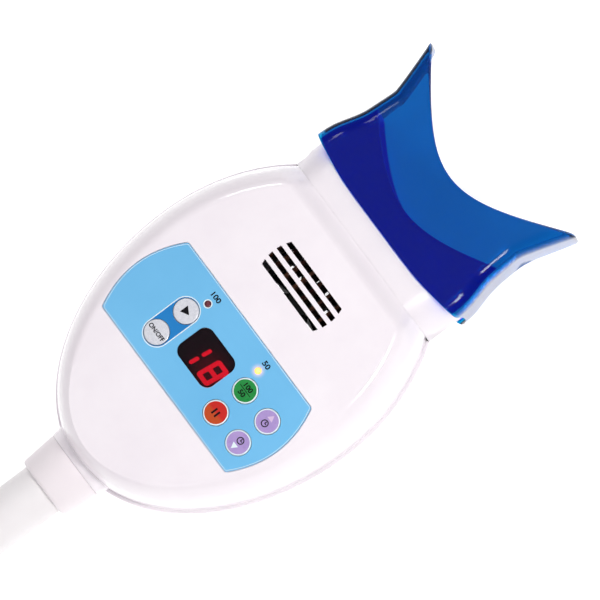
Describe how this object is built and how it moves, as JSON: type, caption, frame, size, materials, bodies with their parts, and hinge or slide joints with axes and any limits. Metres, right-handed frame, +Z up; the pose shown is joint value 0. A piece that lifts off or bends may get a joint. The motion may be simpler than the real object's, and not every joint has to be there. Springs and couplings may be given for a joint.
{
  "type": "teeth whitening lamp",
  "caption": "Egg-shaped clinic lamp head with a keypad, digit window, vent grille and flared translucent light shield, swivelling on the end of its arm tube.",
  "frame": {"origin": "centre of the arm coupling's end face, on the axis of the arm tube", "axes": "+X from the arm along its axis towards the light shield, +Z up through the control panel, +Y to the left seen from the arm"},
  "size_m": [0.3195, 0.14, 0.064],
  "materials": {
    "shell_white": "glossy white moulding with a faint lilac cast",
    "band_white": "satin white, a little greyer than the head",
    "collar_white": "satin white",
    "tube_white": "satin white powder coat",
    "coupling_steel": "turned steel",
    "panel_film": "printed polyester film, sky blue, fine texture",
    "window_smoked": "smoked acrylic",
    "display_black": "black moulding with red digits",
    "key_silver": "silver-grey domed key",
    "key_green": "green domed key",
    "key_red": "red domed key",
    "key_lavender": "lavender domed key",
    "indicator_dark_red": "unlit red LED",
    "indicator_amber": "lit amber LED",
    "shield_blue": "glossy translucent cobalt blue",
    "lens_clear": "clear polycarbonate",
    "reflector_bright": "bright metallised tray",
    "sink_aluminium": "milled",
    "board_white": "white solder mask",
    "board_green": "green solder mask",
    "switch_grey": "grey moulding",
    "terminal_green": "green moulding",
    "fan_black": "black moulding",
    "cable_grey": "grey insulation",
    "cable_red": "red insulation",
    "screw_steel": "zinc plated",
    "bush_nylon": "natural nylon",
    "washer_rubber": "black fibre rubber",
    "nut_brass": "turned brass"
  },
  "bodies": {
    "arm": {"arm_coupling": "coupling_steel", "arm_tube": "tube_white", "swivel_spindle": "screw_steel", "spindle_nut": "nut_brass", "friction_washer": "washer_rubber", "lamp_lead": "cable_grey"},
    "head": {"upper_housing": "shell_white", "lower_housing": "shell_white", "nozzle_ring": "band_white", "lens_cover": "lens_clear", "heat_sink": "sink_aluminium", "led_board": "board_white", "reflector": "reflector_bright", "fan_frame": "fan_black", "panel_overlay": "panel_film", "display_window": "window_smoked", "display_module": "display_black", "control_board": "board_green", "switch_on_off": "switch_grey", "switch_start": "switch_grey", "switch_high_low": "switch_grey", "switch_pause": "switch_grey", "switch_time_up": "switch_grey", "switch_time_down": "switch_grey", "indicator_high": "indicator_dark_red", "indicator_low": "indicator_amber", "driver_board": "board_green", "transformer": "switch_grey", "capacitor_left": "fan_black", "capacitor_right": "fan_black", "buzzer": "fan_black", "terminal_block": "terminal_green", "ribbon_cable": "cable_grey", "led_cable": "cable_red", "housing_screw_rear_left": "screw_steel", "housing_screw_rear_right": "screw_steel", "housing_screw_front_left": "screw_steel", "housing_screw_front_right": "screw_steel", "board_screw_rear_left": "screw_steel", "board_screw_front_left": "screw_steel", "board_screw_rear_right": "screw_steel", "board_screw_front_right": "screw_steel", "rear_collar": "collar_white", "swivel_bush": "bush_nylon"},
    "shield": {"light_shield": "shield_blue"},
    "fan": {"fan_rotor": "fan_black"},
    "on_off": {"key_on_off": "key_silver"},
    "start": {"key_start": "key_silver"},
    "high_low": {"key_high_low": "key_green"},
    "pause": {"key_pause": "key_red"},
    "time_up": {"key_time_up": "key_lavender"},
    "time_down": {"key_time_down": "key_lavender"}
  },
  "joints": [
    {"name": "head_swivel", "type": "hinge", "parent": "arm", "child": "head", "pos_m": [0.06, 0, 0], "axis": [1, 0, 0], "range_deg": [-90, 90]},
    {"name": "shield_pull", "type": "slide", "parent": "head", "child": "shield", "axis": [1, 0, 0], "range_m": [0, 0.02]},
    {"name": "fan_spin", "type": "hinge", "parent": "head", "child": "fan", "pos_m": [0.205, 0, -0.02], "axis": [0, 0, 1], "continuous": true},
    {"name": "on_off_press", "type": "slide", "parent": "head", "child": "on_off", "axis": [0, 0, -1], "range_m": [0, 0.0006], "stiffness_N_per_m": 800},
    {"name": "start_press", "type": "slide", "parent": "head", "child": "start", "axis": [0, 0, -1], "range_m": [0, 0.0006], "stiffness_N_per_m": 800},
    {"name": "high_low_press", "type": "slide", "parent": "head", "child": "high_low", "axis": [0, 0, -1], "range_m": [0, 0.0006], "stiffness_N_per_m": 800},
    {"name": "pause_press", "type": "slide", "parent": "head", "child": "pause", "axis": [0, 0, -1], "range_m": [0, 0.0006], "stiffness_N_per_m": 800},
    {"name": "time_up_press", "type": "slide", "parent": "head", "child": "time_up", "axis": [0, 0, -1], "range_m": [0, 0.0006], "stiffness_N_per_m": 800},
    {"name": "time_down_press", "type": "slide", "parent": "head", "child": "time_down", "axis": [0, 0, -1], "range_m": [0, 0.0006], "stiffness_N_per_m": 800}
  ]
}
